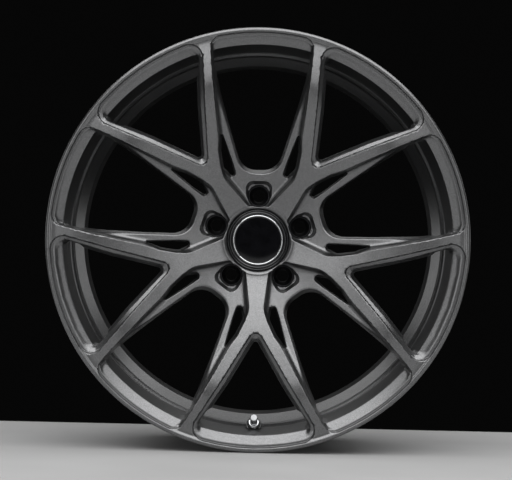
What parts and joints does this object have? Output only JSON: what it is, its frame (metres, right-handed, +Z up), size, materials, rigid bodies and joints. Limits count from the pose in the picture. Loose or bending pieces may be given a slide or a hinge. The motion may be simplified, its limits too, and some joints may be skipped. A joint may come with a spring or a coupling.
{
  "type": "forged racing wheel rim",
  "caption": "Forged road racing wheel rim with forked spokes over lower braces, rounded lip, deep barrel, conical lug seats, snap-in centre cap, hub ring and clamp-in tyre valve.",
  "frame": {"origin": "centre of the bounding box: on the wheel's axis, midway between the two flanges", "axes": "+Y along the wheel's axis, from the street side towards the car; +Z up, through one lug; the valve is at -Z"},
  "size_m": [0.543, 0.267, 0.542],
  "materials": {
    "forging": "satin gunmetal metallic paint over forged aluminium",
    "seat_steel": "zinc-plated turned steel",
    "cap_moulding": "moulded plastic, painted to match the wheel",
    "cap_disc": null,
    "bezel_chrome": "polished",
    "spring_steel": "drawn wire",
    "hub_ring_plastic": "glass-filled plastic",
    "valve_chrome": "bright nickel plate",
    "rubber": "moulded",
    "core_brass": "turned",
    "valve_cap_grey": "satin anodised"
  },
  "bodies": {
    "wheel": {"rim_barrel": "forging", "forged_centre": "forging", "lug_seat_1": "seat_steel", "lug_seat_2": "seat_steel", "lug_seat_3": "seat_steel", "lug_seat_4": "seat_steel", "lug_seat_5": "seat_steel", "valve_stem": "valve_chrome", "valve_grommet": "rubber", "valve_washer": "seat_steel", "valve_nut": "valve_chrome", "valve_core_body": "core_brass", "valve_core_spring": "spring_steel"},
    "centre_cap": {"centre_cap_body": "cap_moulding", "centre_cap_disc": "cap_disc", "centre_cap_bezel": "bezel_chrome", "centre_cap_wire": "spring_steel"},
    "hub_ring": {"hub_ring": "hub_ring_plastic"},
    "core_pin": {"valve_core_pin": "core_brass"},
    "cap_seal": {"valve_cap_seal": "rubber"},
    "valve_cap": {"valve_cap": "valve_cap_grey"}
  },
  "joints": [
    {"name": "centre_cap_pull", "type": "slide", "parent": "wheel", "child": "centre_cap", "axis": [0, -1, 0], "range_m": [0, 0.03]},
    {"name": "hub_ring_pull", "type": "slide", "parent": "wheel", "child": "hub_ring", "axis": [0, 1, 0], "range_m": [0, 0.02]},
    {"name": "core_pin_press", "type": "slide", "parent": "wheel", "child": "core_pin", "axis": [0, 0.9205, -0.3907], "range_m": [0, 0.0012], "stiffness_N_per_m": 800, "springref_m": -0.0015},
    {"name": "valve_cap_lift", "type": "slide", "parent": "wheel", "child": "cap_seal", "axis": [0, -0.9205, 0.3907], "range_m": [0, 0.0066]},
    {"name": "valve_cap_turn", "type": "hinge", "parent": "cap_seal", "child": "valve_cap", "pos_m": [0, -0.09391, -0.23169], "axis": [0, -0.9205, 0.3907], "range_deg": [0, 2994.4]}
  ],
  "couplings": [
    {"joint": "valve_cap_turn", "follows": "valve_cap_lift", "rad_per_m": 7913.3}
  ]
}
